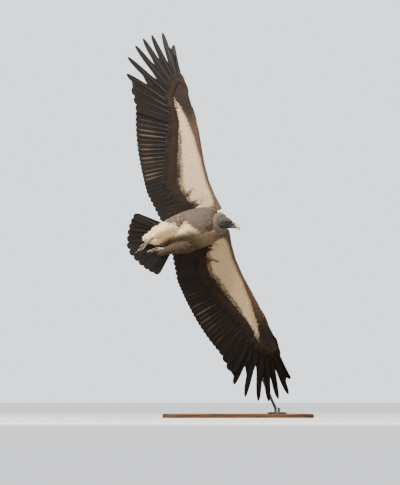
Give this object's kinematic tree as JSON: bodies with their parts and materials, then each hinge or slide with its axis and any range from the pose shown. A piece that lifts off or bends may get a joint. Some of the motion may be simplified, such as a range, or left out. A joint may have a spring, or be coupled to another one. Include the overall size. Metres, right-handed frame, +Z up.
{
  "type": "white-backed vulture model",
  "caption": "Life-size still model of an adult white-backed vulture gliding in a banked turn, wings spread, held by a leaning rod on a flat base.",
  "frame": {"origin": "centre of the stand base's underside, on the floor", "axes": "+Z up; +X towards the side the bill points to; +Y away from the side the belly faces"},
  "size_m": [1.0449, 0.84, 2.1632],
  "materials": {
    "flight_feathers": "matt, slightly glossy vanes",
    "pale_feathers": "matt",
    "brown_feathers": "matt",
    "ruff_down": "matt, downy",
    "face_skin": "satin, wrinkled",
    "leg_skin": "satin, scaled",
    "bill_pale_horn": "satin horn",
    "bill_dark_horn": "satin horn",
    "claw_horn": "satin horn",
    "eye": "wet",
    "stand_wood": "satin varnish",
    "stand_steel": "brushed"
  },
  "bodies": {
    "root": {"bill_lower": "bill_dark_horn", "bill_upper": "bill_pale_horn", "claw_left_1": "claw_horn", "claw_left_2": "claw_horn", "claw_left_3": "claw_horn", "claw_left_4": "claw_horn", "claw_right_1": "claw_horn", "claw_right_2": "claw_horn", "claw_right_3": "claw_horn", "claw_right_4": "claw_horn", "eye_left": "eye", "eye_right": "eye", "foot_left": "leg_skin", "foot_right": "leg_skin", "forearm_left": "pale_feathers", "forearm_right": "pale_feathers", "hand_left": "brown_feathers", "hand_right": "brown_feathers", "head": "face_skin", "neck": "face_skin", "primaries_left": "flight_feathers", "primaries_right": "flight_feathers", "ruff": "ruff_down", "secondaries_left": "flight_feathers", "secondaries_right": "flight_feathers", "shank_left": "leg_skin", "shank_right": "leg_skin", "stand_base": "stand_wood", "stand_flange": "stand_steel", "stand_rod": "stand_steel", "tail": "flight_feathers", "tail_coverts_under": "pale_feathers", "tail_coverts_upper": "brown_feathers", "tertials_left": "flight_feathers", "tertials_right": "flight_feathers", "thigh_left": "pale_feathers", "thigh_right": "pale_feathers", "trunk": "brown_feathers", "upperarm_left": "pale_feathers", "upperarm_right": "pale_feathers"}
  },
  "joints": []
}
